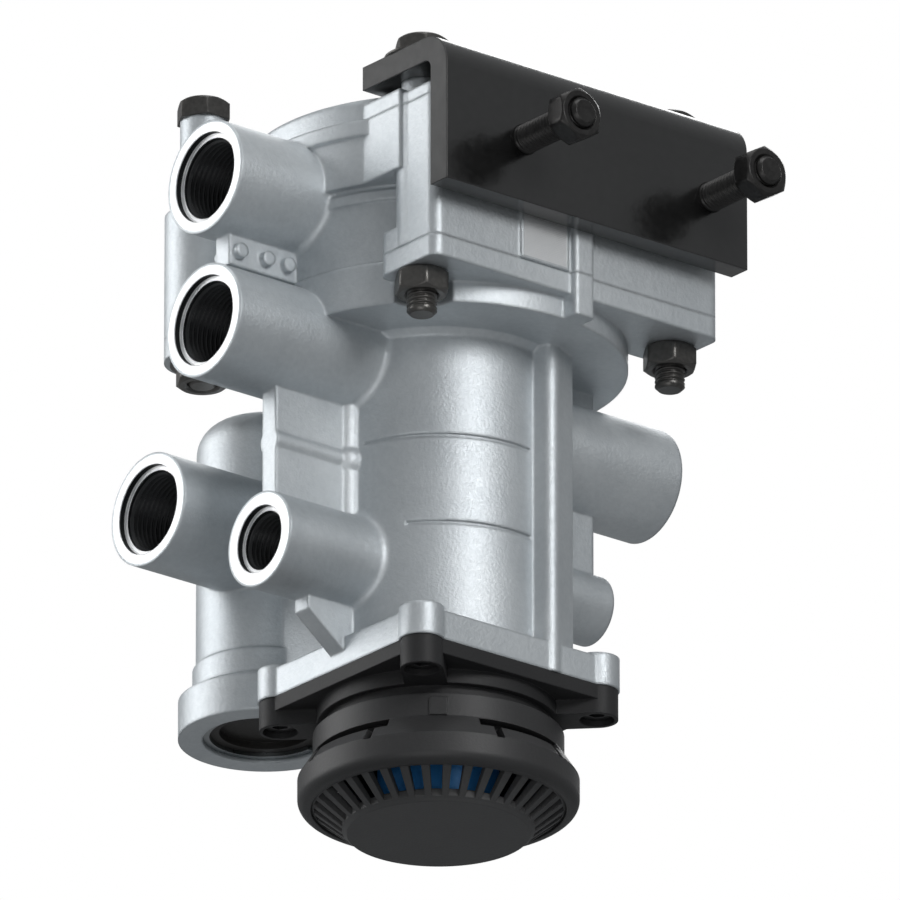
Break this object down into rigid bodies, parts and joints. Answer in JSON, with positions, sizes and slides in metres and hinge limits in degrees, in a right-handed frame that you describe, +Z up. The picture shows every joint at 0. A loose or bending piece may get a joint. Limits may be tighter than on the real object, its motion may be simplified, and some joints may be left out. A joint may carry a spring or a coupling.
{
  "type": "trailer control valve",
  "caption": "Air brake valve in a cast housing with threaded ports, a side cylinder, a bent frame bracket and a round exhaust silencer.",
  "frame": {"origin": "midpoint of the two frame studs, on the outer face of the bracket's upright leg", "axes": "-Y out of the bracket's outer face towards the frame rail, +X along the bracket, +Z up along the valve's main axis; four ports face -X and two face +X"},
  "size_m": [0.141, 0.1629, 0.2106],
  "materials": {
    "cast_alloy": "die cast, blasted",
    "machined_alloy": "machined",
    "coated_steel": "satin black coat",
    "dark_fasteners": "dark coat",
    "black_plastic": "matt",
    "blue_plastic": "matt",
    "plain_steel": "bright",
    "valve_brass": "turned",
    "seal_rubber": "matt"
  },
  "bodies": {
    "housing": {"valve_body": "cast_alloy", "upper_housing": "cast_alloy", "upper_cover": "cast_alloy", "cover_seal": "seal_rubber", "frame_bracket": "coated_steel", "front_housing_bolts": "dark_fasteners", "rear_housing_bolts": "dark_fasteners", "housing_nuts": "dark_fasteners", "frame_studs": "dark_fasteners", "frame_nuts": "dark_fasteners", "valve_guide": "valve_brass", "valve_guide_rings": "seal_rubber", "valve_spring": "plain_steel", "exhaust_flange": "black_plastic", "exhaust_flange_screws": "plain_steel", "silencer_housing": "black_plastic", "silencer_cap": "black_plastic", "silencer_element": "blue_plastic", "side_plug": "black_plastic", "side_plug_ring": "seal_rubber", "side_snap_ring": "plain_steel", "throttle_spring": "plain_steel"},
    "upper_piston": {"control_piston": "machined_alloy", "control_piston_ring": "seal_rubber"},
    "lower_piston": {"relay_piston": "machined_alloy", "relay_piston_ring": "seal_rubber"},
    "valve_sleeve": {"inlet_valve": "valve_brass", "valve_face": "seal_rubber"},
    "side_spool": {"throttle_spool": "machined_alloy", "throttle_spool_rings": "seal_rubber"}
  },
  "joints": [
    {"name": "control_piston_slide", "type": "slide", "parent": "housing", "child": "upper_piston", "axis": [0, 0, -1], "range_m": [0, 0.0055]},
    {"name": "relay_piston_slide", "type": "slide", "parent": "housing", "child": "lower_piston", "axis": [0, 0, -1], "range_m": [0, 0.0055]},
    {"name": "inlet_valve_slide", "type": "slide", "parent": "housing", "child": "valve_sleeve", "axis": [0, 0, -1], "range_m": [0, 0.003], "stiffness_N_per_m": 2500, "springref_m": -0.006, "deforming": ["valve_spring"]},
    {"name": "throttle_spool_slide", "type": "slide", "parent": "housing", "child": "side_spool", "axis": [0, 0, -1], "range_m": [0, 0.008], "stiffness_N_per_m": 1500, "springref_m": -0.005, "deforming": ["throttle_spring"]}
  ],
  "couplings": [
    {"joint": "relay_piston_slide", "follows": "control_piston_slide", "ratio": 1},
    {"joint": "inlet_valve_slide", "follows": "control_piston_slide", "ratio": 0.54545}
  ]
}
